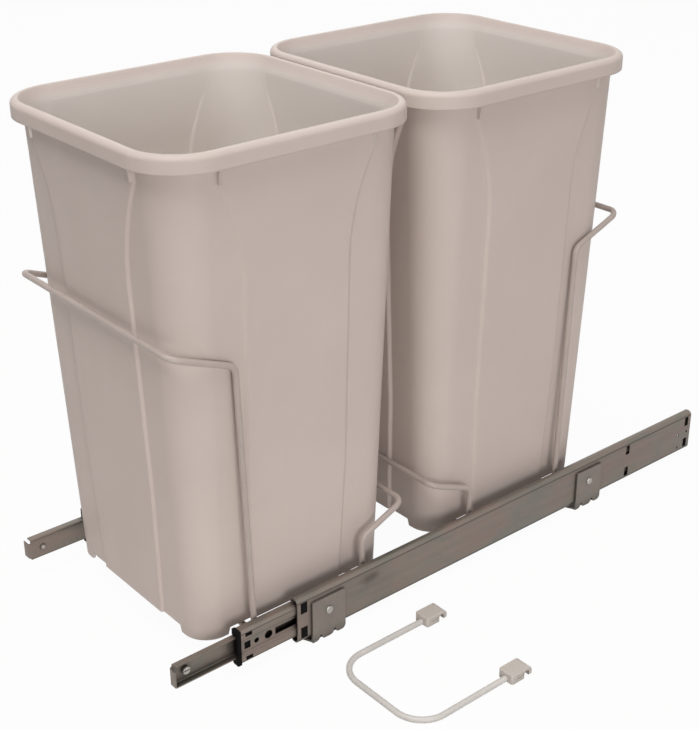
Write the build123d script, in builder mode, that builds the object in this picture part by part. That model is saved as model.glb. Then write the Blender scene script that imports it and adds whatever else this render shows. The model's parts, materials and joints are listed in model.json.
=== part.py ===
from build123d import *
from math import atan, cos, pi, sin
import os

# Pull-out waste unit, in millimetres. X runs across the unit, Y from front to rear and Z up.
# The origin is the centre of the four floor screws, on the cabinet floor.
# The unit stands as it is photographed: the two bins pulled out by pulled_out.

# ---- Bins ----
bin_height = 444.5
bin_bottom_width = 210.4
bin_top_width = 242.0
bin_bottom_corner = 24.7
bin_top_corner = 38.4
bin_wall = 2.5
bin_floor = 2.5
rim_width = 262.4
rim_corner = 50.7
rim_skirt = 14.5
rim_thickness = 2.2
rim_rounding = 4.5
mouth_depth = 13.0           # from here up the inside of the wall flares into the rim
mouth_flare = 5.4            # how much the flare adds on every side
mouth_steps = 6
rim_gap = 6.8                # between the two rims
foot_height = 9.0
foot_gap_height = 6.8        # the gap between two feet
foot_end = 74.0              # centre line of a face to the end of a foot
foot_slope = 2.5

# ---- Raised panel on each face of a bin ----
panel_proud = 2.5
panel_crease = 3.0           # width of the sloping edge
panel_foot_half_width = 46.6
panel_waist_half_width = 52.0
panel_head_half_width = 76.0
panel_waist_start = 134.0    # above the feet
panel_waist_end = 120.5      # these two are below the top of the bin
panel_head_start = 28.5
recess_fade_start = 72.0     # from here up the recess inside the panel grows shallower
rib_thickness = 2.2
rib_drop = 13.0              # how far a rib shows below the skirt
rib_taper = 3.0              # how much less it reaches at its lower end
rib_inset = 3.5              # outer edge of the rim to the outer edge of a rib

# ---- Wire frame ----
wire = 5.6
weld_gap = 0.05
bend_radius = 10.0
base_bend_radius = 7.0
base_lift = 23.45            # cabinet floor to the underside of the frame
seat_gap = 0.3               # bin to its two carrying wires
base_wire_spread = 120.0
side_gap = 1.6               # bin to the legs of a high hoop, at the top of the legs
high_hoop_gap = 4.4
high_leg_foot = 57.5         # these are distances from the middle of the bin
high_leg_head = 66.2
high_leg_height = 289.3
high_run_height = 312.5
low_hoop_gap = 2.8
low_leg = 65.8
low_leg_height = 73.3
low_run_height = 94.3

# ---- Slides ----
slide_length = 555.0
pulled_out = 124.0
slide_lift = 5.5             # cabinet floor to the underside of the outer member
bins_setback = 280.5         # front end of the inner members to the middle between the bins

outer_height = 46.0
outer_thickness = 1.2
outer_depth = 10.0
outer_corner = 4.6
outer_lip = 4.4              # how far a flange's free edge turns back towards the balls
outer_lip_corner = 4.0
outer_window_width = 7.4
outer_window_height = 11.4
outer_window_spread = 26.0
outer_window_setback = 7.4
rear_window_width = 6.0
rear_window_height = 10.5
rear_window_setback = 107.5
end_window_setback = 7.5
end_hole_radius = 1.4
end_hole_setback = 20.2
end_hole_drop = 15.6
tail_hole_setback = 5.9

intermediate_length = 536.0
intermediate_lag = 2.4        # front ends of the outer members to it, when the inner ones are level
intermediate_height = 34.0
intermediate_thickness = 1.0
intermediate_depth = 9.3
intermediate_corner = 3.5
strip_height = 13.0          # recessed middle strip of the intermediate member
strip_recess = 1.8
strip_slope = 1.4
race_window_width = 7.2
race_window_height = 3.8
race_window_spread = 24.4
race_window_setback = 8.2
strip_window_width = 6.5
strip_window_height = 7.3
strip_window_setback = 7.6
small_hole_radius = 2.5
small_hole_setback = 17.5
large_hole_radius = 4.2
large_hole_setback = 30.5
long_window_length = 58.0
long_window_setback = 66.8

inner_length = 548.0
inner_height = 22.6
inner_thickness = 1.2
inner_depth = 6.8
inner_corner = 2.2
tab_reach = 2.8              # front ends of the flanges to the front of the tab
tab_width = 9.3
tab_top = 7.5
tab_bottom = 8.6
tab_corner = 2.6
screw_setback = 12.0
screw_radius = 2.0
screw_clearance = 0.1
screw_standoff = 1.2
screw_tip = 0.6              # how far the screw's end stands out of its collar
screw_head_radius = 3.6
screw_head_height = 2.2
screw_slot_width = 1.0
screw_slot_length = 8.4
screw_slot_depth = 0.9
collar_radius = 2.9
collar_height = 0.8

# ---- Ball cages ----
cage_length = 200.0
cage_thickness = 0.5
cage_clearance = 0.25
cage_margin = 20.0           # member's front end to the cage's, when fully extended
cage_corner = 1.6
ball_clearance = 0.05
ball_play = 0.15             # ball to its hole in the cage
ball_pitch = 20.0
inner_ball_inset = 4.0       # inboard face of the inner web to the middle of its balls
lip_overhang = 0.6           # cage's lip beyond the ball holes

# ---- Stops in the front of the outer members ----
stop_gap = 0.3
stop_setback = 3.0           # front end of the outer member to the stop
stop_length = 10.0
stop_chamfer = 2.8
lug_clearance = 0.15         # to the edges of its window

# ---- Bumpers ----
bumper_reach = 3.2
bumper_clearance = 0.7       # to the inner member
bumper_top = 1.0             # above the intermediate member
bumper_bottom = 1.4          # below it
bumper_back = 3.5            # thickness of the part beside the web
bumper_rounding = 2.2
plug_length = 14.0
plug_height = 4.4
plug_gap = 0.2
tongue_height = 11.0         # thin tongue behind the window of the middle strip

# ---- Floor brackets ----
bracket_pitch = 350.0
bracket_setback = 34.4       # front ends of the outer members to the middle of the front brackets
bracket_width = 38.0
bracket_height = 43.3
bracket_thickness = 2.0
bracket_corner = 2.0
bracket_bend = 3.0
lobe_lift = 0.3              # the rounded lobes of the plate's lower edge, above the cabinet floor
lobe_front_corner = 3.0
lobe_rear_corner = 4.6
notch_width = 2.2            # between two lobes
notch_top = 5.2
notch_spread = 16.2
notch_forward = 1.4          # middle of the bracket to the middle between the notches
foot_length = 28.0
foot_flare = 4.2             # how much further than the plate the foot reaches, on each side
foot_flare_length = 12.5
foot_corner = 4.0
floor_screw_radius = 2.5
floor_screw_inset = 6.5      # free end of the foot to the middle of its screw hole
rivet_radius = 2.0
rivet_clearance = 0.05
rivet_head_radius = 3.8
rivet_head_height = 1.3
rivet_head_rounding = 1.0

# ---- Loose handle ----
handle_wire = 5.6
handle_span = 107.0
handle_reach = 101.0         # cross run to the front faces of the clips
handle_corner = 28.0
handle_x = 231.3
handle_front = -201.2
clip_width = 17.0
clip_height = 9.0
clip_lift = 0.5
clip_body = 14.8
clip_top = 2.2
clip_hook = 4.0
clip_mouth_clearance = 0.2
clip_hook_lift = 0.7
clip_hook_rounding = 1.3
clip_corner = 2.2
clip_rear_corner = 4.8
clip_rounding = 0.8
socket_depth = 11.0
socket_clearance = 0.1
groove_length = 7.0
groove_height = 3.0
groove_depth = 0.6
groove_inset = 1.0           # mouth to the rear end of the groove

# ---- Places that follow from the sizes above ----
base_run_z = base_lift + wire / 2
base_wire_z = base_run_z + wire + weld_gap
bin_floor_z = base_wire_z + wire / 2 + seat_gap
bin_base_z = bin_floor_z - foot_height
bin_top_z = bin_base_z + bin_height
rim_bottom_z = bin_top_z - rim_skirt
bin_pitch = rim_width + rim_gap

column_slope = (bin_top_width - bin_bottom_width) / 2 / bin_height


def column_half_width(z):
    return bin_bottom_width / 2 + column_slope * (z - bin_base_z)


frame_half_width = column_half_width(high_leg_height) + side_gap + wire + weld_gap
leg_x = frame_half_width - weld_gap - wire / 2
cage_gap = cage_thickness + 2 * cage_clearance
strip_x = frame_half_width + inner_depth + cage_gap
race_x = strip_x + strip_recess + intermediate_thickness
outer_x = race_x + cage_gap + outer_thickness
bracket_x = outer_x + bracket_thickness
slide_z = slide_lift + outer_height / 2

slide_front = -bracket_setback - bracket_pitch / 2
carriage_front = slide_front - pulled_out
intermediate_front = slide_front + intermediate_lag - pulled_out / 2
travel_left = slide_length - pulled_out
outer_cage_front = slide_front + cage_margin + travel_left / 4
inner_cage_front = intermediate_front + cage_margin + travel_left / 4
bins_middle = carriage_front + bins_setback
screw_y = carriage_front + screw_setback

os.makedirs("parts", exist_ok=True)


def keep(part, name):
    part.label = name
    export_step(part, f"parts/{name}.step")


def keep_pair(part, name):
    keep(part, f"{name}_right")
    with BuildPart() as other:
        mirror(part, about=Plane.YZ, mode=Mode.REPLACE)
    keep(other.part, f"{name}_left")


# ---- The bins ----
def column(inset):
    # The tapering body of a bin, drawn in by inset on every side.
    with BuildPart() as body:
        with BuildSketch(Plane.XY.offset(bin_base_z)):
            side = bin_bottom_width - 2 * inset
            RectangleRounded(side, side, bin_bottom_corner - inset)
        with BuildSketch(Plane.XY.offset(bin_top_z)):
            side = bin_top_width - 2 * inset
            RectangleRounded(side, side, bin_top_corner - inset)
        loft(ruled=True)
    return body.part


def panel_outline(plane, growth):
    # Half the panel up to its head, then its mirror image. It runs past both ends of the bin.
    below = -bin_floor
    foot = panel_foot_half_width + growth
    waist = panel_waist_half_width + growth
    head = panel_head_half_width + growth
    waist_end = bin_height - panel_waist_end
    head_start = bin_height - panel_head_start
    with BuildSketch(plane) as outline:
        with BuildLine():
            Line((0, below), (foot, below))
            Line((foot, below), (foot, foot_height))
            Line((foot, foot_height), (waist, panel_waist_start))
            Line((waist, panel_waist_start), (waist, waist_end))
            TangentArc((waist, waist_end), (head, head_start), tangent=(0, 1))
            Line((head, head_start), (head, bin_height))
            Line((head, bin_height), (0, bin_height))
            mirror(about=Plane.YZ)
        make_face()
    return outline.sketch


def panel(inset):
    # The raised panel of the face on the +X side, with sloping edges.
    tilt = atan(column_slope)
    normal = Vector(cos(tilt), 0, -sin(tilt))
    origin = Vector(bin_bottom_width / 2, 0, bin_base_z) - normal * inset
    base = Plane(origin=origin, x_dir=(0, 1, 0), z_dir=normal)
    with BuildPart() as raised:
        add(panel_outline(base, panel_crease))
        add(panel_outline(base.offset(panel_proud), 0))
        loft(ruled=True)
    return raised.part


def recess():
    # The raised panel as it shows inside the wall, fading out towards the mouth.
    side_panel = panel(bin_wall)
    low_z = bin_top_z - recess_fade_start
    high_z = bin_top_z - mouth_depth
    low = Vector(column_half_width(low_z) + panel_proud - bin_wall, 0, low_z)
    high = Vector(column_half_width(high_z) - bin_wall, 0, high_z)
    along = high - low
    fade = Plane(origin=high, x_dir=(0, 1, 0), z_dir=(-along.Z, 0, along.X))
    with BuildPart() as hollow:
        add(side_panel)
        split(bisect_by=fade, keep=Keep.TOP)
    return hollow.part


def bin_mass(side_panel, inset, bottom, top):
    # The body with its four panels, between two heights.
    body = column(inset)
    with BuildPart() as mass:
        add(body)
        with PolarLocations(0, 4):
            add(side_panel)
        split(bisect_by=Plane.XY.offset(bottom), keep=Keep.TOP)
        split(bisect_by=Plane.XY.offset(top), keep=Keep.BOTTOM)
    return mass.part


def rim():
    # The flat crest of the rim with its skirt.
    with BuildPart() as ring:
        with BuildSketch(Plane.XY.offset(rim_bottom_z)):
            RectangleRounded(rim_width, rim_width, rim_corner)
        extrude(amount=rim_skirt)
        fillet(ring.faces().sort_by(Axis.Z)[-1].edges(), rim_rounding)
        with BuildSketch(Plane.XY.offset(rim_bottom_z)):
            side = rim_width - 2 * rim_thickness
            RectangleRounded(side, side, rim_corner - rim_thickness)
        extrude(amount=rim_skirt - rim_thickness, mode=Mode.SUBTRACT)
    return ring.part


def mouth(growth):
    # The flaring space inside the top of the wall, grown on every side.
    with BuildPart() as space:
        for step in range(mouth_steps):
            for level in (step, step + 1):
                share = level / mouth_steps
                z = bin_top_z - mouth_depth * (1 - share)
                grown = growth + mouth_flare * (1 - cos(share * pi / 2)) - bin_wall
                rise = (z - bin_base_z) / bin_height
                corner = bin_bottom_corner + rise * (bin_top_corner - bin_bottom_corner)
                side = 2 * (column_half_width(z) + grown)
                with BuildSketch(Plane.XY.offset(z)):
                    RectangleRounded(side, side, corner + grown)
            loft(ruled=True)
    return space.part


def ribs():
    # Two ribs on each face, in line with the ends of the panel's head.
    reach = rim_width / 2 - rib_inset
    low_reach = reach - rib_taper
    root = column_half_width(rim_bottom_z - rib_drop) - bin_wall / 2
    top = bin_top_z - rim_thickness / 2
    bottom = rim_bottom_z - rib_drop
    with BuildPart() as plates:
        with BuildSketch(Plane.XZ):
            with BuildLine():
                Polyline((root, bottom), (low_reach, bottom), (reach, top), (root, top), close=True)
            make_face()
        extrude(amount=rib_thickness / 2, both=True)
    with BuildPart() as all_ribs:
        for quarter in range(4):
            with Locations(Rotation(0, 0, 90 * quarter)):
                with Locations((0, panel_head_half_width), (0, -panel_head_half_width)):
                    add(plates.part)
    return all_ribs.part


def foot_cuts():
    # The gap between the feet of two opposite faces, and of the other two.
    bottom = bin_base_z - foot_slope
    ceiling = bin_base_z + foot_gap_height
    with BuildPart() as cut:
        with BuildSketch(Plane.XZ):
            with BuildLine():
                Polyline(
                    (-foot_end - foot_slope, bottom),
                    (foot_end + foot_slope, bottom),
                    (foot_end, ceiling),
                    (-foot_end, ceiling),
                    close=True,
                )
            make_face()
        extrude(amount=rim_width, both=True)
    with BuildPart() as both_cuts:
        with PolarLocations(0, 2, angular_range=180):
            add(cut.part)
    return both_cuts.part


def bin_shape():
    outside = bin_mass(panel(0), 0, bin_base_z, bin_top_z)
    inside = bin_mass(recess(), bin_wall, bin_floor_z + bin_floor, bin_top_z)
    underside = bin_mass(panel(bin_wall), bin_wall, bin_base_z, bin_floor_z)
    edge = rim()
    stiffeners = ribs()
    collar = mouth(bin_wall)
    opening = mouth(0)
    gaps = foot_cuts()
    with BuildPart() as shape:
        add(outside)
        add(edge)
        add(stiffeners)
        add(collar)
        add(inside, mode=Mode.SUBTRACT)
        add(opening, mode=Mode.SUBTRACT)
        add(underside, mode=Mode.SUBTRACT)
        add(gaps, mode=Mode.SUBTRACT)
    return shape.part


def make_bins():
    shape = bin_shape()
    for name, side in (("bin_front", -1), ("bin_rear", 1)):
        with BuildPart() as placed:
            with Locations((0, bins_middle + side * bin_pitch / 2, 0)):
                add(shape)
        keep(placed.part, name)


# ---- The wire frame ----
def swept_wire(points, radii, diameter):
    # A round wire through the points, bent at each inner one.
    with BuildPart() as bent:
        with BuildLine():
            path = FilletPolyline(*points, radius=radii)
        with BuildSketch(Plane(origin=path @ 0, z_dir=path % 0)):
            Circle(diameter / 2)
        sweep()
    return bent.part


def hoop(middle, side, foot, head, leg_height, run_height, gap):
    # One closed hoop: base run, two legs, two arms and the run that holds the bin.
    reach = column_half_width(run_height) + panel_proud + gap + wire / 2
    foot_y = middle + side * foot
    head_y = middle + side * head
    run_y = middle + side * reach
    points = (
        (0, foot_y, base_run_z),
        (leg_x, foot_y, base_run_z),
        (leg_x, head_y, leg_height),
        (leg_x, run_y, run_height),
        (0, run_y, run_height),
    )
    half = swept_wire(points, (base_bend_radius, bend_radius, bend_radius), wire)
    with BuildPart() as closed:
        add(half)
        mirror(about=Plane.YZ)
    return closed.part


def make_frame():
    high = (high_leg_foot, high_leg_head, high_leg_height, high_run_height, high_hoop_gap)
    low = (low_leg, low_leg, low_leg_height, low_run_height, low_hoop_gap)
    for name, side in (("front", -1), ("rear", 1)):
        middle = bins_middle + side * bin_pitch / 2
        keep(hoop(middle, side, *high), f"hoop_{name}_high")
        keep(hoop(middle, -side, *low), f"hoop_{name}_low")
        start = middle + side * (high_leg_foot + wire / 2)
        end = middle - side * (low_leg + wire / 2)
        for hand, x in (("right", base_wire_spread / 2), ("left", -base_wire_spread / 2)):
            with BuildPart() as straight:
                with BuildSketch(Plane.XZ.offset(-start)):
                    with Locations((x, base_wire_z)):
                        Circle(wire / 2)
                extrude(amount=start - end)
            keep(straight.part, f"base_wire_{name}_{hand}")


# ---- The slides ----
def member(rear, length, points, radii, thickness):
    # A bent strip along Y: the points lie on its outer face, which has the given bends.
    with BuildPart() as rail:
        with BuildSketch(Plane.XZ.offset(-rear)):
            with BuildLine():
                FilletPolyline(*points, radius=radii)
                offset(amount=thickness, side=Side.RIGHT)
            make_face()
        extrude(amount=length)
    return rail.part


def make_outer_member():
    top = slide_z + outer_height / 2
    bottom = slide_z - outer_height / 2
    tip = outer_x - outer_depth
    points = (
        (tip, top - outer_lip),
        (tip, top),
        (outer_x, top),
        (outer_x, bottom),
        (tip, bottom),
        (tip, bottom + outer_lip),
    )
    radii = (outer_lip_corner, outer_corner, outer_corner, outer_lip_corner)
    rear = slide_front + slide_length
    rail = member(rear, slide_length, points, radii, outer_thickness)
    with BuildPart() as outer:
        add(rail)
        with BuildSketch(Plane.YZ.offset(outer_x)):
            with Locations((slide_front + outer_window_setback, slide_z)):
                with GridLocations(0, outer_window_spread, 1, 2):
                    Rectangle(outer_window_width, outer_window_height)
            with Locations((rear - rear_window_setback, slide_z), (rear - end_window_setback, slide_z)):
                with GridLocations(0, outer_window_spread, 1, 2):
                    Rectangle(rear_window_width, rear_window_height)
            with Locations(
                (rear - end_hole_setback, slide_z),
                (rear - end_hole_setback, slide_z - end_hole_drop),
                (rear - tail_hole_setback, slide_z),
            ):
                Circle(end_hole_radius)
            with Locations((0, slide_z)):
                with GridLocations(bracket_pitch, 0, 2, 1):
                    Circle(rivet_radius + rivet_clearance)
        extrude(amount=-2 * outer_thickness, mode=Mode.SUBTRACT)
    keep_pair(outer.part, "outer_member")


def make_outer_stop():
    # A plastic piece round the intermediate member, with a lug in each front window of the outer one.
    face_x = outer_x - outer_thickness - stop_gap
    web_x = race_x + stop_gap
    lip_x = outer_x - outer_depth + outer_thickness + stop_gap
    land = intermediate_height / 2 + stop_gap
    roof = outer_height / 2 - outer_thickness - stop_gap
    upper = (
        (web_x, land),
        (lip_x, land),
        (lip_x, roof - stop_chamfer),
        (lip_x + stop_chamfer, roof),
        (face_x - stop_chamfer, roof),
        (face_x, roof - stop_chamfer),
    )
    above = tuple((x, slide_z + rise) for x, rise in upper)
    below = tuple((x, slide_z - rise) for x, rise in reversed(upper))
    front = slide_front + stop_setback
    with BuildPart() as stop:
        with BuildSketch(Plane.XZ.offset(-front)):
            with BuildLine():
                Polyline(*above, *below, close=True)
            make_face()
        extrude(amount=-stop_length)
        with BuildSketch(Plane.YZ.offset(outer_x - lug_clearance)):
            with Locations((slide_front + outer_window_setback, slide_z)):
                with GridLocations(0, outer_window_spread, 1, 2):
                    width = outer_window_width - 2 * lug_clearance
                    Rectangle(width, outer_window_height - 2 * lug_clearance)
        extrude(amount=face_x + lug_clearance - outer_x)
    keep_pair(stop.part, "outer_stop")


def make_intermediate_member():
    top = slide_z + intermediate_height / 2
    bottom = slide_z - intermediate_height / 2
    tip = race_x - intermediate_depth
    strip_face = race_x - strip_recess
    strip_top = slide_z + strip_height / 2
    strip_bottom = slide_z - strip_height / 2
    points = (
        (tip, top),
        (race_x, top),
        (race_x, strip_top + strip_slope),
        (strip_face, strip_top),
        (strip_face, strip_bottom),
        (race_x, strip_bottom - strip_slope),
        (race_x, bottom),
        (tip, bottom),
    )
    crease = intermediate_thickness + ball_clearance
    radii = (intermediate_corner, crease, crease, crease, crease, intermediate_corner)
    rear = intermediate_front + intermediate_length
    rail = member(rear, intermediate_length, points, radii, intermediate_thickness)
    with BuildPart() as intermediate:
        add(rail)
        with BuildSketch(Plane.YZ.offset(race_x)):
            with Locations((intermediate_front + race_window_setback, slide_z)):
                with GridLocations(0, race_window_spread, 1, 2):
                    Rectangle(race_window_width, race_window_height)
            with Locations((intermediate_front + strip_window_setback, slide_z)):
                Rectangle(strip_window_width, strip_window_height)
            with Locations((intermediate_front + small_hole_setback, slide_z)):
                Circle(small_hole_radius)
            with Locations((intermediate_front + large_hole_setback, slide_z)):
                Circle(large_hole_radius)
            with Locations((intermediate_front + long_window_setback, slide_z)):
                Rectangle(long_window_length, strip_window_height)
        extrude(amount=-2 * (strip_recess + intermediate_thickness), mode=Mode.SUBTRACT)
    keep_pair(intermediate.part, "intermediate_member")


def make_inner_member():
    top = slide_z + inner_height / 2
    bottom = slide_z - inner_height / 2
    tip = frame_half_width + inner_depth
    points = ((tip, bottom), (frame_half_width, bottom), (frame_half_width, top), (tip, top))
    rail = member(carriage_front + inner_length, inner_length, points, inner_corner, inner_thickness)
    tab_front = carriage_front - tab_reach
    with BuildPart() as inner:
        add(rail)
        with BuildSketch(Plane.XY.offset(slide_z - tab_bottom)):
            with BuildLine():
                FilletPolyline(
                    (frame_half_width, carriage_front + inner_thickness),
                    (frame_half_width, tab_front),
                    (frame_half_width + tab_width, tab_front),
                    radius=tab_corner,
                )
                offset(amount=inner_thickness, side=Side.LEFT)
            make_face()
        extrude(amount=tab_bottom + tab_top)
        with BuildSketch(Plane.YZ.offset(frame_half_width)):
            with Locations((screw_y, slide_z)):
                Circle(collar_radius)
        extrude(amount=-collar_height)
        with BuildSketch(Plane.YZ.offset(frame_half_width - collar_height)):
            with Locations((screw_y, slide_z)):
                Circle(screw_radius + screw_clearance)
        extrude(amount=collar_height + 2 * inner_thickness, mode=Mode.SUBTRACT)
    keep_pair(inner.part, "inner_member")


def make_door_screws():
    tip_x = frame_half_width - collar_height - screw_tip
    head_x = frame_half_width + inner_thickness + screw_standoff
    with BuildPart() as screw:
        with BuildSketch(Plane.YZ.offset(tip_x)):
            with Locations((screw_y, slide_z)):
                Circle(screw_radius)
        extrude(amount=head_x - tip_x)
        with BuildSketch(Plane.YZ.offset(head_x)):
            with Locations((screw_y, slide_z)):
                Circle(screw_head_radius)
        extrude(amount=screw_head_height)
        with BuildSketch(Plane.YZ.offset(head_x + screw_head_height)):
            with Locations((screw_y, slide_z)):
                Rectangle(screw_slot_length, screw_slot_width)
        extrude(amount=-screw_slot_depth, mode=Mode.SUBTRACT)
    with BuildPart() as pair:
        add(screw.part)
        mirror(about=Plane.YZ)
    keep(pair.part, "door_screws")


def make_bumper():
    # A plastic cap on the front end of the intermediate member, open towards the inner member.
    clear = inner_height / 2 + bumper_clearance
    top = slide_z + intermediate_height / 2 + bumper_top
    bottom = slide_z - intermediate_height / 2 - bumper_bottom
    tip = race_x - intermediate_depth
    back = race_x - bumper_back
    race_face = race_x - intermediate_thickness - plug_gap
    plug_face = strip_x + plug_gap
    with BuildPart() as bumper:
        with BuildSketch(Plane.XZ.offset(-intermediate_front)):
            with BuildLine():
                Polyline(
                    (tip, top),
                    (race_x, top),
                    (race_x, bottom),
                    (tip, bottom),
                    (tip, slide_z - clear),
                    (back, slide_z - clear),
                    (back, slide_z + clear),
                    (tip, slide_z + clear),
                    close=True,
                )
            cap = make_face()
            fillet(cap.vertices().group_by(Axis.Y)[0], bumper_rounding)
            fillet(cap.vertices().group_by(Axis.Y)[-1], bumper_rounding)
        extrude(amount=bumper_reach)
        with BuildSketch(Plane.XZ.offset(-intermediate_front)):
            with Locations(((race_face + plug_face) / 2, slide_z)):
                with GridLocations(0, race_window_spread, 1, 2):
                    Rectangle(race_face - plug_face, plug_height)
            with Locations((strip_x - cage_clearance - cage_thickness / 2, slide_z)):
                Rectangle(cage_thickness, tongue_height)
        extrude(amount=-plug_length)
    keep_pair(bumper.part, "bumper")


# ---- Ball cages ----
def cage(front, web_x, tip_x, lip, ball_x, ball_radius):
    # web_x is the outboard face of the cage's web and lip the height of its lips' middle.
    top = slide_z + lip + cage_thickness / 2
    bottom = slide_z - lip - cage_thickness / 2
    points = ((tip_x, top), (web_x, top), (web_x, bottom), (tip_x, bottom))
    strip = member(front + cage_length, cage_length, points, cage_corner, cage_thickness)
    count = int(cage_length / ball_pitch)
    middle = front + cage_length / 2
    with BuildPart() as holed:
        add(strip)
        with BuildSketch(Plane.XY.offset(slide_z)):
            with Locations((ball_x, middle)):
                with GridLocations(0, ball_pitch, 1, count):
                    Circle(ball_radius + ball_play)
        extrude(amount=lip + cage_thickness, both=True, mode=Mode.SUBTRACT)
    with BuildPart() as balls:
        with Locations((ball_x, middle, slide_z - lip), (ball_x, middle, slide_z + lip)):
            with GridLocations(0, ball_pitch, 1, count):
                Sphere(ball_radius)
    return holed.part, balls.part


def make_outer_cage():
    race = outer_height / 2 - outer_thickness
    land = intermediate_height / 2
    ball_radius = (race - land) / 2 - ball_clearance
    web_x = outer_x - outer_thickness - cage_clearance
    ball_x = outer_x - outer_depth / 2
    tip_x = ball_x - ball_radius - lip_overhang
    strip, balls = cage(outer_cage_front, web_x, tip_x, (race + land) / 2, ball_x, ball_radius)
    keep_pair(strip, "outer_ball_cage")
    keep_pair(balls, "outer_balls")


def make_inner_cage():
    race = intermediate_height / 2 - intermediate_thickness
    land = inner_height / 2
    ball_radius = (race - land) / 2 - ball_clearance
    web_x = strip_x - cage_clearance
    ball_x = frame_half_width + inner_ball_inset
    tip_x = ball_x - ball_radius - lip_overhang
    strip, balls = cage(inner_cage_front, web_x, tip_x, (race + land) / 2, ball_x, ball_radius)
    keep_pair(strip, "inner_ball_cage")
    keep_pair(balls, "inner_balls")


# ---- Floor brackets ----
def bracket_plate(middle):
    # The upright plate, with its lower edge cut into three lobes.
    edge = bracket_width / 2
    with BuildPart() as plate:
        with BuildSketch(Plane.YZ.offset(outer_x)) as outline:
            with BuildLine():
                Polyline(
                    (middle - edge, lobe_lift),
                    (middle - edge, bracket_height),
                    (middle + edge, bracket_height),
                    (middle + edge, lobe_lift),
                    close=True,
                )
            make_face()
            with Locations((middle - notch_forward, lobe_lift)):
                with GridLocations(notch_spread, 0, 2, 1):
                    Rectangle(notch_width, 2 * (notch_top - lobe_lift), mode=Mode.SUBTRACT)
            fillet(outline.vertices().group_by(Axis.Y)[-1], bracket_corner)
            ends = outline.vertices().group_by(Axis.Y)[0].sort_by(Axis.X)
            fillet(ends[2::2], lobe_front_corner)
            ends = outline.vertices().group_by(Axis.Y)[0].sort_by(Axis.X)
            fillet(ends[1::2], lobe_rear_corner)
            with Locations((middle, slide_z)):
                Circle(rivet_radius + rivet_clearance, mode=Mode.SUBTRACT)
        extrude(amount=bracket_thickness)
    return plate.part


def lobe_bottoms(middle):
    # Front and rear ends of the straight bottom of each lobe.
    edge = bracket_width / 2
    front_notch = middle - notch_forward - notch_spread / 2
    rear_notch = front_notch + notch_spread
    before = notch_width / 2 + lobe_rear_corner
    after = notch_width / 2 + lobe_front_corner
    return (
        (middle - edge, front_notch - before),
        (front_notch + after, rear_notch - before),
        (rear_notch + after, middle + edge - lobe_rear_corner),
    )


def bracket_foot(middle):
    # The foot, which flares inward from the plate's width, and its bends under the lobes.
    edge = bracket_width / 2
    bend_x = bracket_x - bracket_bend
    flare_x = bracket_x - foot_flare_length
    free_end = bracket_x - foot_length
    reach = edge + foot_flare
    with BuildPart() as foot:
        with BuildSketch(Plane.XZ.offset(-middle)):
            with BuildLine():
                FilletPolyline(
                    (bracket_x, 2 * bracket_bend),
                    (bracket_x, 0),
                    (free_end, 0),
                    radius=bracket_bend,
                )
                offset(amount=bracket_thickness, side=Side.RIGHT)
            make_face()
        extrude(amount=reach, both=True)
        with BuildSketch(Plane.XY):
            with BuildLine():
                FilletPolyline(
                    (bend_x, middle - edge),
                    (flare_x, middle - reach),
                    (free_end, middle - reach),
                    (free_end, middle + reach),
                    (flare_x, middle + reach),
                    (bend_x, middle + edge),
                    radius=foot_corner,
                )
                Line((bend_x, middle + edge), (bend_x, middle - edge))
            make_face()
            for start, end in lobe_bottoms(middle):
                with Locations((bracket_x - bracket_bend / 2, (start + end) / 2)):
                    Rectangle(bracket_bend, end - start)
        extrude(amount=2 * bracket_bend, mode=Mode.INTERSECT)
        with BuildSketch(Plane.XY):
            with Locations((free_end + floor_screw_inset, middle)):
                Circle(floor_screw_radius)
        extrude(amount=bracket_thickness, mode=Mode.SUBTRACT)
    return foot.part


def bracket(middle):
    plate = bracket_plate(middle)
    foot = bracket_foot(middle)
    with BuildPart() as whole:
        add(plate)
        add(foot)
    return whole.part


def make_brackets():
    keep_pair(bracket(-bracket_pitch / 2), "floor_bracket_front")
    keep_pair(bracket(bracket_pitch / 2), "floor_bracket_rear")
    with BuildPart() as rivets:
        with BuildSketch(Plane.YZ.offset(outer_x - outer_thickness)):
            with Locations((0, slide_z)):
                with GridLocations(bracket_pitch, 0, 2, 1):
                    Circle(rivet_radius)
        extrude(amount=outer_thickness + bracket_thickness)
        with BuildSketch(Plane.YZ.offset(bracket_x)):
            with Locations((0, slide_z)):
                with GridLocations(bracket_pitch, 0, 2, 1):
                    Circle(rivet_head_radius)
        extrude(amount=rivet_head_height)
        heads = rivets.faces().filter_by(Axis.X).sort_by(Axis.X)[-2:]
        fillet(heads.edges(), rivet_head_rounding)
        mirror(about=Plane.YZ)
    keep(rivets.part, "bracket_rivets")


# ---- The loose handle ----
def make_handle_wire():
    half = handle_span / 2
    clip_front = handle_front + handle_reach
    end = clip_front + socket_depth - socket_clearance
    z = handle_wire / 2
    points = (
        (handle_x - half, end, z),
        (handle_x - half, handle_front, z),
        (handle_x + half, handle_front, z),
        (handle_x + half, end, z),
    )
    keep(swept_wire(points, handle_corner, handle_wire), "handle_wire")


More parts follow.
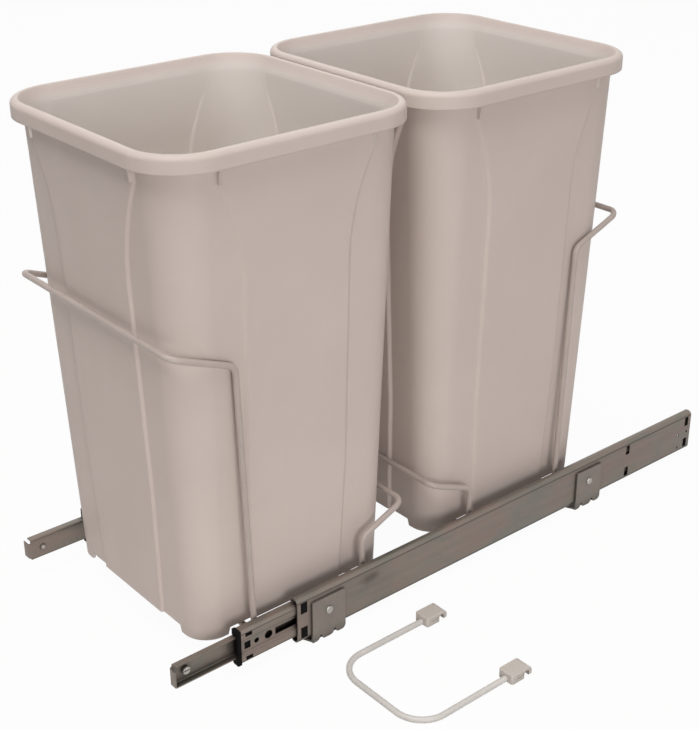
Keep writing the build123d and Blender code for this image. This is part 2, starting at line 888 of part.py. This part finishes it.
def clip(x):
    # A block on the end of the wire, with a hook that snaps over a wire of the frame.
    front = handle_front + handle_reach
    top = clip_lift + clip_height
    mouth = wire + 2 * clip_mouth_clearance
    mouth_front = front + clip_body
    mouth_rear = mouth_front + mouth
    rear = mouth_rear + clip_hook
    crown = top - clip_top
    spring = crown - mouth / 2
    groove_y = mouth_front - groove_inset - groove_length / 2
    with BuildPart() as block:
        with BuildSketch(Plane.YZ.offset(x)):
            with BuildLine():
                Polyline(
                    (mouth_front, spring),
                    (mouth_front, clip_lift),
                    (front, clip_lift),
                    (front, top),
                    (rear, top),
                    (rear, clip_lift + clip_hook_lift),
                    (mouth_rear, clip_lift + clip_hook_lift),
                    (mouth_rear, spring),
                )
                ThreePointArc((mouth_rear, spring), (mouth_front + mouth / 2, crown), (mouth_front, spring))
            make_face()
        extrude(amount=clip_width / 2, both=True)
        fillet(block.edges().filter_by(Axis.Z).group_by(Axis.Y)[0], clip_corner)
        fillet(block.edges().filter_by(Axis.X).group_by(Axis.Z)[-1].sort_by(Axis.Y)[-1], clip_rear_corner)
        hook_end = block.edges().filter_by(Axis.X).group_by(Axis.Y)[-1].sort_by(Axis.Z)[0]
        fillet(hook_end, clip_hook_rounding)
        chamfer(block.faces().sort_by(Axis.Z)[-1].edges().filter_by(Axis.Y), clip_rounding)
        with BuildSketch(Plane.XZ.offset(-front)):
            with Locations((x, handle_wire / 2)):
                Circle(handle_wire / 2 + socket_clearance)
        extrude(amount=-socket_depth, mode=Mode.SUBTRACT)
        for side in (-1, 1):
            with BuildSketch(Plane.YZ.offset(x + side * clip_width / 2)):
                with Locations((groove_y, clip_lift + clip_height / 2)):
                    Rectangle(groove_length, groove_height)
            extrude(amount=-side * groove_depth, mode=Mode.SUBTRACT)
    return block.part


def make_clips():
    keep(clip(handle_x + handle_span / 2), "handle_clip_right")
    keep(clip(handle_x - handle_span / 2), "handle_clip_left")


make_bins()
make_frame()
make_outer_member()
make_outer_stop()
make_intermediate_member()
make_inner_member()
make_door_screws()
make_bumper()
make_outer_cage()
make_inner_cage()
make_brackets()
make_handle_wire()
make_clips()
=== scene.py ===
import json
import math

import bmesh
import bpy
from mathutils import Matrix, Vector


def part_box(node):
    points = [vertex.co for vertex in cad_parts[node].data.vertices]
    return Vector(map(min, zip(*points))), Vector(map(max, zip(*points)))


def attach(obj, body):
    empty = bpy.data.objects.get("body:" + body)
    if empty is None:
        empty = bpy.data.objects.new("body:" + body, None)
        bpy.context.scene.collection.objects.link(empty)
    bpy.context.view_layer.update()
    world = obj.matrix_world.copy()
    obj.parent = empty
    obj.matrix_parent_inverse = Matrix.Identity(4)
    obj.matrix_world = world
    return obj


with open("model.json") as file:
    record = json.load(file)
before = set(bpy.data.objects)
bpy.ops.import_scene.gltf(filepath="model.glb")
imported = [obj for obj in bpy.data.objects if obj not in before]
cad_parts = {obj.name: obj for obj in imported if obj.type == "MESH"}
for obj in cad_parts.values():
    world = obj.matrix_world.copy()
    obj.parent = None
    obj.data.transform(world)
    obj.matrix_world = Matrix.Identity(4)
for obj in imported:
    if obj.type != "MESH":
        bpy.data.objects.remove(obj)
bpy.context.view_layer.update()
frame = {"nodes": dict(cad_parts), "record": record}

# Metres throughout, in the frame of the CAD: X across the unit, Y from front to rear, Z up.
NODES = frame["nodes"]

# ---- Camera: the photograph's place, direction and lens ----
CAMERA_AT = Vector((0.9340, -0.8160, 0.7663))
CAMERA_TURN = math.radians(50.161)     # from +Y towards -X
CAMERA_PITCH = math.radians(25.780)    # below the horizon
CAMERA_ROLL = math.radians(0.242)
CAMERA_LENS = 71.317
SENSOR_WIDTH = 36.0
NEAREST_SEEN = 0.01


def add_camera():
    forward = Vector((
        -math.sin(CAMERA_TURN) * math.cos(CAMERA_PITCH),
        math.cos(CAMERA_TURN) * math.cos(CAMERA_PITCH),
        -math.sin(CAMERA_PITCH),
    ))
    level = Vector((math.cos(CAMERA_TURN), math.sin(CAMERA_TURN), 0))
    down = forward.cross(level)
    right = math.cos(CAMERA_ROLL) * level + math.sin(CAMERA_ROLL) * down
    up = math.sin(CAMERA_ROLL) * level - math.cos(CAMERA_ROLL) * down
    turn = Matrix((right, up, -forward)).transposed()
    data = bpy.data.cameras.new("camera")
    data.lens = CAMERA_LENS
    data.sensor_width = SENSOR_WIDTH
    data.sensor_fit = "HORIZONTAL"
    data.clip_start = NEAREST_SEEN
    camera = bpy.data.objects.new("camera", data)
    camera.matrix_world = Matrix.Translation(CAMERA_AT) @ turn.to_4x4()
    bpy.context.scene.collection.objects.link(camera)
    bpy.context.scene.camera = camera


# ---- Node helpers ----
BEVEL_SAMPLES = 4
CLOSENESS_SAMPLES = 12


def plant(tree, kind, inputs=None, **settings):
    """A node with its settings; an input is a value or another node's output."""
    made = tree.nodes.new("ShaderNode" + kind)
    for name, value in settings.items():
        setattr(made, name, value)
    for name, value in (inputs or {}).items():
        if isinstance(value, bpy.types.NodeSocket):
            tree.links.new(value, made.inputs[name])
        else:
            made.inputs[name].default_value = value
    return made


def maths(tree, operation, first, second):
    return plant(tree, "Math", {0: first, 1: second}, operation=operation).outputs["Value"]


def times(tree, first, second):
    return maths(tree, "MULTIPLY", first, second)


def vector_maths(tree, operation, first, second):
    return plant(tree, "VectorMath", {0: first, 1: second}, operation=operation).outputs["Vector"]


def dot(tree, first, second):
    made = plant(tree, "VectorMath", {0: first, 1: second}, operation="DOT_PRODUCT")
    return made.outputs["Value"]


def ramp(tree, factor, stops):
    made = plant(tree, "ValToRGB", {"Fac": factor})
    elements = made.color_ramp.elements
    while len(elements) < len(stops):
        elements.new(0.5)
    for element, (place, colour) in zip(elements, stops):
        element.position = place
        element.color = opaque(colour)
    return made.outputs["Color"]


def spread(tree, value, low, high, out_low, out_high):
    """The value carried from one range to another and held inside it."""
    made = plant(tree, "MapRange", {"Value": value, "From Min": low, "From Max": high,
                                    "To Min": out_low, "To Max": out_high})
    return made.outputs["Result"]


def blend(tree, share, first, second, kind="MIX"):
    made = plant(tree, "Mix", {"Factor": share, 6: first, 7: second}, data_type="RGBA",
                 blend_type=kind)
    return made.outputs[2]


def noise(tree, place, scale, detail=4.0, roughness=0.55, distortion=0.0):
    made = plant(tree, "TexNoise", {"Vector": place, "Scale": scale, "Detail": detail,
                                    "Roughness": roughness, "Distortion": distortion})
    return made.outputs["Fac"]


def stretched(tree, place, scale):
    return plant(tree, "Mapping", {"Vector": place, "Scale": scale}).outputs["Vector"]


def object_place(tree):
    return plant(tree, "TexCoord").outputs["Object"]


def object_normal(tree):
    return plant(tree, "TexCoord").outputs["Normal"]


def split(tree, vector):
    return plant(tree, "SeparateXYZ", {0: vector}).outputs


def blank_material(name):
    material = bpy.data.materials.new(name)
    material.use_nodes = True
    tree = material.node_tree
    return material, tree, tree.nodes["Principled BSDF"]


def shade(colour, factor):
    return tuple(min(1.0, part * factor) for part in colour)


def opaque(colour):
    return (*colour, 1)


def edge_mask(tree, radius, flat=0.93, sharp=0.75):
    """1 on sharp edges and 0 on flat ground, with the rounded normal."""
    rounded = plant(tree, "Bevel", {"Radius": radius}, samples=BEVEL_SAMPLES).outputs["Normal"]
    plain = plant(tree, "NewGeometry").outputs["Normal"]
    return spread(tree, dot(tree, rounded, plain), flat, sharp, 0.0, 1.0), rounded


def painted_crevice_shade(tree, reach, low, high, darkest):
    """Painted shade: a factor below 1 where surfaces crowd together within reach, darkening
    crevices and gaps between parts where shade falls.
    """
    closeness = plant(tree, "AmbientOcclusion", {"Distance": reach}, samples=CLOSENESS_SAMPLES)
    return spread(tree, closeness.outputs["AO"], low, high, darkest, 1.0)


def darken(tree, colour, factor):
    grey = plant(tree, "CombineColor", {0: factor, 1: factor, 2: factor})
    return blend(tree, 1.0, colour, grey.outputs["Color"], "MULTIPLY")


def finish_shader(tree, shader, colour, roughness, height, strength, distance, normal):
    bump = plant(tree, "Bump", {"Strength": strength, "Distance": distance, "Height": height,
                                "Normal": normal})
    tree.links.new(colour, shader.inputs["Base Color"])
    tree.links.new(roughness, shader.inputs["Roughness"])
    tree.links.new(bump.outputs["Normal"], shader.inputs["Normal"])


# ---- Kinds of surface ----
BIN_AXES = (-0.1875, 0.0817)           # Y of the middle of the front and of the rear bin
BIN_FLOORS_END = (0.05, 0.06)          # height over which the painted light on the bins' floors ends
FOOT_LIGHT_END = (0.03, 0.42)           # height over which the painted light at a bin's foot fades
RUBBED_SHARE = 0.22                    # how much of the edge tone shows on plastic edges
SCUFF_STRETCH = (60.0, 60.0, 5.0)
STAIN_STRETCH = (1.0, 0.55, 1.6)
# how dark the painted shade at the start of each bend falls
BEND_DARKNESS = 0.5
SMUDGE_AT = (0.1346, -0.124, 0.0395)
SMUDGE_SHAPE = (50.0, 65.0, 140.0)
SMUDGE_COLOUR = (0.055, 0.046, 0.038)
STEEL_SPECULAR = 0.4


def inside_share(tree, place):
    """1 on the inner walls and floors of the two bins, which stand round BIN_AXES, else 0; the
    share that gets the painted light of the insides.
    """
    front, rear = BIN_AXES
    parts = split(tree, place)
    behind = maths(tree, "GREATER_THAN", parts["Y"], (front + rear) / 2)
    axis = spread(tree, behind, 0.0, 1.0, front, rear)
    middle = plant(tree, "CombineXYZ", {1: axis, 2: 0.0}).outputs["Vector"]
    level = vector_maths(tree, "MULTIPLY", place, (1.0, 1.0, 0.0))
    outward = vector_maths(tree, "SUBTRACT", level, middle)
    normal = object_normal(tree)
    inward = spread(tree, dot(tree, outward, normal), 0.0, -0.06, 0.0, 1.0)
    upward = split(tree, normal)["Z"]
    walls = times(tree, inward, spread(tree, upward, 0.12, 0.55, 1.0, 0.0))
    low = spread(tree, parts["Z"], *BIN_FLOORS_END, 1.0, 0.0)
    floors = times(tree, low, spread(tree, upward, 0.3, 0.6, 0.0, 1.0))
    return maths(tree, "MAXIMUM", walls, floors)


def moulded_plastic(name, colour, roughness, edge_radius, edge_tone=1.25, specular=0.3, crevice_shade_factor=0.85,
                    painted_foot_light=1.0, painted_inside_light_colour=None):
    """Fine moulded grain, slow unevenness of tone, faint upright scuffs and rubbed edges; painted
    shade in crevices, and for the bins a painted lighter inside and painted light towards the
    foot.
    """
    material, tree, shader = blank_material(name)
    place = object_place(tree)
    cloud = noise(tree, place, 7.0)
    grain = noise(tree, place, 900.0, 2.0)
    scuff = noise(tree, stretched(tree, place, SCUFF_STRETCH), 1.0, 6.0, 0.7)
    base = ramp(tree, cloud, ((0.3, shade(colour, 0.97)), (0.7, shade(colour, 1.03))))
    height = split(tree, place)["Z"]
    rubbed = RUBBED_SHARE
    # painted light: the inner walls and floors of the bins get a lighter copy of the colour,
    # standing in for the light that fills them
    if painted_inside_light_colour:
        inside = inside_share(tree, place)
        base = blend(tree, inside, base, opaque(painted_inside_light_colour))
        rubbed = spread(tree, inside, 0.0, 0.3, RUBBED_SHARE, 0.0)
    # painted light: lighter towards the foot, standing in for light thrown up from the floor
    foot_lit = darken(tree, base, spread(tree, height, *FOOT_LIGHT_END, painted_foot_light, 1.0))
    marks = spread(tree, scuff, 0.60, 0.78, 0.0, 0.08)
    scuffed = blend(tree, marks, foot_lit, opaque(shade(colour, 1.3)))
    edges, rounded = edge_mask(tree, edge_radius)
    edge_toned = blend(tree, times(tree, edges, rubbed), scuffed, opaque(shade(colour, edge_tone)))
    # painted shade in crevices and between parts
    shaded = darken(tree, edge_toned, painted_crevice_shade(tree, 0.010, 0.15, 0.75, crevice_shade_factor))
    rough = spread(tree, scuff, 0.3, 0.75, roughness - 0.04, roughness + 0.10)
    finish_shader(tree, shader, shaded, rough, grain, 0.2, 0.00006, rounded)
    shader.inputs["Specular IOR Level"].default_value = specular
    return material


def painted_bend_shade(tree):
    """Painted shade: a factor that darkens the start of each lengthwise bend of a strip, standing
    in for the dark reflection there.
    """
    upward = split(tree, object_normal(tree))["Z"]
    tilt = plant(tree, "Math", {0: upward}, operation="ABSOLUTE").outputs["Value"]
    begun = spread(tree, tilt, 0.04, 0.12, 0.0, 1.0)
    ended = spread(tree, tilt, 0.28, 0.42, 1.0, 0.0)
    return spread(tree, times(tree, begun, ended), 0.0, 1.0, 1.0, BEND_DARKNESS)


def smudge(tree, place, colour):
    """A dark oily mark on the web of the right outer member."""
    offset = vector_maths(tree, "SUBTRACT", place, SMUDGE_AT)
    squeezed = stretched(tree, offset, SMUDGE_SHAPE)
    length = plant(tree, "VectorMath", {0: squeezed}, operation="LENGTH").outputs["Value"]
    ragged = maths(tree, "ADD", length, noise(tree, place, 90.0))
    share = spread(tree, ragged, 0.75, 1.45, 0.55, 0.0)
    return blend(tree, share, colour, opaque(SMUDGE_COLOUR))


def strip_steel(name, colours, roughness, edge_radius, metallic=0.55, crevice_shade_factor=0.12,
                streak_scale=(220.0, 5.0, 220.0), smudges=False):
    """Zinc-plated steel: brown with green and pink stains, faint drawing lines, painted shade in
    crevices, along the bends and on the edges.
    """
    material, tree, shader = blank_material(name)
    place = object_place(tree)
    green, ground, pink = colours
    stain = noise(tree, stretched(tree, place, STAIN_STRETCH), 34.0, 3.0, 0.5, 0.8)
    base = ramp(tree, stain, ((0.36, green), (0.50, ground), (0.66, pink)))
    streak = noise(tree, stretched(tree, place, streak_scale), 1.0, 6.0, 0.6)
    lines = ramp(tree, streak, ((0.3, (0.93, 0.93, 0.93)), (0.7, (1.05, 1.05, 1.05))))
    drawn = blend(tree, 1.0, base, lines, "MULTIPLY")
    if smudges:
        drawn = smudge(tree, place, drawn)
    speck = noise(tree, place, 420.0, 3.0, 0.6)
    specks = ramp(tree, speck, ((0.30, (0.72, 0.72, 0.70)), (0.38, (1.0, 1.0, 1.0))))
    specked = blend(tree, 0.6, drawn, specks, "MULTIPLY")
    edges, rounded = edge_mask(tree, edge_radius, 0.98, 0.80)
    # painted shade: the sharp edges darkened towards a dark green, standing in for the dark lines
    # of shade and reflection at the edges
    edge_toned = blend(tree, times(tree, edges, 0.45), specked, opaque(shade(green, 0.45)))
    bend_shaded = darken(tree, edge_toned, painted_bend_shade(tree))
    # painted shade in crevices and between parts
    shaded = darken(tree, bend_shaded, painted_crevice_shade(tree, 0.014, 0.25, 0.95, crevice_shade_factor))
    rough = spread(tree, stain, 0.25, 0.75, roughness - 0.06, roughness + 0.08)
    finish_shader(tree, shader, shaded, rough, streak, 0.2, 0.00006, rounded)
    shader.inputs["Metallic"].default_value = metallic
    shader.inputs["Specular IOR Level"].default_value = STEEL_SPECULAR
    return material


def turned_steel(name, dark, light, roughness, edge_radius, metallic=0.9):
    """Small turned, rolled or ground parts: bright, finely scratched, with painted shade in
    crevices.
    """
    material, tree, shader = blank_material(name)
    place = object_place(tree)
    scratch = noise(tree, place, 300.0, 6.0, 0.65)
    base = ramp(tree, scratch, ((0.3, dark), (0.7, light)))
    edges, rounded = edge_mask(tree, edge_radius)
    edge_toned = blend(tree, times(tree, edges, 0.4), base, opaque(shade(light, 1.25)))
    # painted shade in crevices and between parts
    shaded = darken(tree, edge_toned, painted_crevice_shade(tree, 0.005, 0.20, 0.80, 0.5))
    rough = spread(tree, scratch, 0.3, 0.7, roughness - 0.05, roughness + 0.07)
    finish_shader(tree, shader, shaded, rough, scratch, 0.2, 0.00005, rounded)
    shader.inputs["Metallic"].default_value = metallic
    return material


def painted_steel(name, colour, roughness, edge_radius, crevice_shade_factor=0.6):
    """Powder-coated wire: orange peel, slight unevenness of tone, thin paint on edges, painted
    shade in crevices.
    """
    material, tree, shader = blank_material(name)
    place = object_place(tree)
    cloud = noise(tree, place, 40.0)
    peel = noise(tree, place, 500.0, 2.0)
    base = ramp(tree, cloud, ((0.3, shade(colour, 0.94)), (0.7, shade(colour, 1.04))))
    edges, rounded = edge_mask(tree, edge_radius)
    shaded = blend(tree, times(tree, edges, 0.3), base, opaque(shade(colour, 0.8)))
    # painted shade in crevices and between parts, left out when the factor is 1
    if crevice_shade_factor < 1:
        shaded = darken(tree, shaded, painted_crevice_shade(tree, 0.012, 0.10, 0.70, crevice_shade_factor))
    rough = spread(tree, cloud, 0.3, 0.7, roughness - 0.04, roughness + 0.06)
    finish_shader(tree, shader, shaded, rough, peel, 0.06, 0.00004, rounded)
    shader.inputs["Specular IOR Level"].default_value = STEEL_SPECULAR
    return material


# ---- Materials ----
# The green, ground and pink tones of the drawn strip and of the pressed sheet.
STRIP = ((0.200, 0.185, 0.157), (0.232, 0.196, 0.166), (0.250, 0.195, 0.169))
SHEET = ((0.215, 0.200, 0.172), (0.245, 0.213, 0.183), (0.262, 0.215, 0.190))
SURFACES = {
    "bin_plastic": (moulded_plastic, dict(
        colour=(0.63, 0.538, 0.493), roughness=0.48, edge_radius=0.0020, painted_foot_light=1.10,
        painted_inside_light_colour=(0.88, 0.82, 0.775))),
    "painted_wire": (painted_steel, dict(
        colour=(0.50, 0.425, 0.385), roughness=0.38, edge_radius=0.0004)),
    "slide_steel": (strip_steel, dict(
        colours=STRIP, roughness=0.46, edge_radius=0.0005, smudges=True)),
    "cage_steel": (strip_steel, dict(colours=SHEET, roughness=0.40, edge_radius=0.0003)),
    "ball_steel": (turned_steel, dict(
        dark=(0.50, 0.50, 0.50), light=(0.62, 0.62, 0.61), roughness=0.16, edge_radius=0.0002,
        metallic=1.0)),
    "bumper_plastic": (moulded_plastic, dict(
        colour=(0.010, 0.009, 0.009), roughness=0.65, edge_radius=0.0004, edge_tone=1.4,
        specular=0.03, crevice_shade_factor=0.5)),
    "fastener_steel": (turned_steel, dict(
        dark=(0.34, 0.32, 0.29), light=(0.50, 0.47, 0.43), roughness=0.33, edge_radius=0.0003)),
    "bracket_steel": (strip_steel, dict(
        colours=SHEET, roughness=0.50, edge_radius=0.0006, metallic=0.45, crevice_shade_factor=0.25,
        streak_scale=(60.0, 60.0, 60.0))),
    "handle_paint": (painted_steel, dict(
        colour=(0.64, 0.61, 0.58), roughness=0.40, edge_radius=0.0004, crevice_shade_factor=1.0)),
    "clip_plastic": (moulded_plastic, dict(
        colour=(0.575, 0.525, 0.482), roughness=0.45, edge_radius=0.0006)),
}
MATERIALS = {slot: kind(slot, **settings) for slot, (kind, settings) in SURFACES.items()}
WELD_DISTANCE = 0.00001


def dress_nodes():
    for row in frame["record"]["subparts"]:
        node = NODES[row["node"]]
        node.data.materials.clear()
        node.data.materials.append(MATERIALS[row["material_slot"]])
        weld = node.modifiers.new("weld", "WELD")
        weld.merge_threshold = WELD_DISTANCE


# ---- Painted shade plates at the rear ends of the slides ----
# The windows at the rear ends of the outer members show black in the photograph. A black plate
# sits behind each as painted shade, a dark sheet standing in for the shade inside the channel.
SHADE_PLATE_LENGTH = 0.0137
SHADE_PLATE_HALF_HEIGHT = 0.0193
SHADE_PLATE_THICKNESS = 0.0016
SHADE_PLATE_CORNER = 0.0025
SHADE_PLATE_ROUNDING = 0.0003
SHADE_PLATE_ROUNDING_STEPS = 2
SHADE_PLATE_INSET = 0.0008               # from the rear end of the member
WEB_THICKNESS = 0.0012
WEB_GAP = 0.0003


def in_order(mesh):
    """The points and faces in an order of their own, since a bevel's order varies between runs."""
    ranked = sorted(mesh.verts, key=lambda vert: tuple(vert.co))
    rank = {vert: place for place, vert in enumerate(ranked)}
    faces = []
    for face in mesh.faces:
        loop = [rank[vert] for vert in face.verts]
        start = loop.index(min(loop))
        faces.append(loop[start:] + loop[:start])
    return [vert.co.copy() for vert in ranked], [], sorted(faces)


def add_shade_plate(side, outward):
    """A black plastic plate with cut corners and rounded edges, inside the web of the member, as
    painted shade behind the rear windows.
    """
    name = "shade_plate_" + side
    low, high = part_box("outer_member_" + side)
    web = high[0] if outward > 0 else low[0]
    # painted shade: the plate stands in for the shade inside the channel
    near = web - outward * (WEB_THICKNESS + WEB_GAP)
    far = near - outward * SHADE_PLATE_THICKNESS
    rear = high[1] - SHADE_PLATE_INSET
    front = rear - SHADE_PLATE_LENGTH
    middle = (low[2] + high[2]) / 2
    top, cut = SHADE_PLATE_HALF_HEIGHT, SHADE_PLATE_CORNER
    outline = [(front + cut, -top), (rear - cut, -top), (rear, cut - top), (rear, top - cut),
               (rear - cut, top), (front + cut, top), (front, top - cut), (front, cut - top)]
    mesh = bmesh.new()
    face = mesh.faces.new([mesh.verts.new((near, y, middle + z)) for y, z in outline])
    swept = bmesh.ops.extrude_face_region(mesh, geom=[face])
    moved = [item for item in swept["geom"] if isinstance(item, bmesh.types.BMVert)]
    bmesh.ops.translate(mesh, verts=moved, vec=(far - near, 0, 0))
    bmesh.ops.recalc_face_normals(mesh, faces=mesh.faces)
    bmesh.ops.bevel(mesh, geom=mesh.edges[:], offset=SHADE_PLATE_ROUNDING,
                    segments=SHADE_PLATE_ROUNDING_STEPS, affect="EDGES", profile=0.5)
    data = bpy.data.meshes.new(name)
    data.from_pydata(*in_order(mesh))
    mesh.free()
    data.materials.append(MATERIALS["bumper_plastic"])
    piece = bpy.data.objects.new(name, data)
    bpy.context.scene.collection.objects.link(piece)
    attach(piece, "cabinet_side")


# ---- Studio ----
WHITE = (1, 1, 1, 1)
FLOOR_REACH = 8.0
FLOOR_HEIGHT = -0.0004
FLOOR_COLOUR = (0.68, 0.66, 0.645, 1)
FLOOR_ROUGHNESS = 0.9
FLOOR_WHITE_SHARE = 0.96               # the rest shows the floor with the object's shadow
AMBIENT_COLOUR = (1.0, 0.96, 0.93, 1)
AMBIENT_STRENGTH = 0.165
# name, place, aim, width and height, watts
LAMPS = (
    ("key", (2.40, -0.85, 0.70), (0, 0, 0.25), (1.2, 0.9), 20.5),
    ("back", (-2.1, 1.5, 1.4), (0, 0, 0.2), (1.4, 1.4), 7.0),
    ("top", (0.25, -0.90, 3.2), (0, -0.1, 0.0), (2.4, 2.4), 81.0),
)


def seen_directly(tree):
    """1 for camera, glossy and transmission rays, 0 for the rays that light things."""
    path = plant(tree, "LightPath").outputs
    either = maths(tree, "MAXIMUM", path["Is Camera Ray"], path["Is Glossy Ray"])
    return maths(tree, "MAXIMUM", either, path["Is Transmission Ray"])


def add_floor():
    corners = [(x * FLOOR_REACH, y * FLOOR_REACH, FLOOR_HEIGHT)
               for x, y in ((-1, -1), (1, -1), (1, 1), (-1, 1))]
    data = bpy.data.meshes.new("floor")
    data.from_pydata(corners, [], [(0, 1, 2, 3)])
    floor = bpy.data.objects.new("floor", data)
    bpy.context.scene.collection.objects.link(floor)
    material, tree, shader = blank_material("floor_white")
    shader.inputs["Base Color"].default_value = FLOOR_COLOUR
    shader.inputs["Roughness"].default_value = FLOOR_ROUGHNESS
    shader.inputs["Specular IOR Level"].default_value = 0.0
    share = times(tree, seen_directly(tree), FLOOR_WHITE_SHARE)
    white = plant(tree, "Emission", {"Color": WHITE, "Strength": 1.0})
    mixed = plant(tree, "MixShader", {0: share, 1: shader.outputs[0], 2: white.outputs[0]})
    tree.links.new(mixed.outputs[0], tree.nodes["Material Output"].inputs["Surface"])
    data.materials.append(material)


def add_world():
    world = bpy.data.worlds.new("studio")
    bpy.context.scene.world = world
    world.use_nodes = True
    tree = world.node_tree
    ambient = tree.nodes["Background"]
    ambient.inputs["Color"].default_value = AMBIENT_COLOUR
    ambient.inputs["Strength"].default_value = AMBIENT_STRENGTH
    white = plant(tree, "Background", {"Color": WHITE, "Strength": 1.0})
    mixed = plant(tree, "MixShader", {0: seen_directly(tree), 1: ambient.outputs[0],
                                      2: white.outputs[0]})
    tree.links.new(mixed.outputs[0], tree.nodes["World Output"].inputs["Surface"])


def add_lamp(name, at, aim, size, power):
    data = bpy.data.lights.new(name, "AREA")
    data.shape = "RECTANGLE"
    data.size, data.size_y = size
    data.energy = power
    lamp = bpy.data.objects.new(name, data)
    lamp.location = at
    lamp.rotation_euler = (Vector(aim) - Vector(at)).to_track_quat("-Z", "Y").to_euler()
    bpy.context.scene.collection.objects.link(lamp)


def add_studio():
    add_floor()
    add_world()
    for lamp in LAMPS:
        add_lamp(*lamp)


dress_nodes()
add_shade_plate("left", -1)
add_shade_plate("right", 1)
add_camera()
add_studio()
bpy.context.scene.view_settings.view_transform = "Standard"
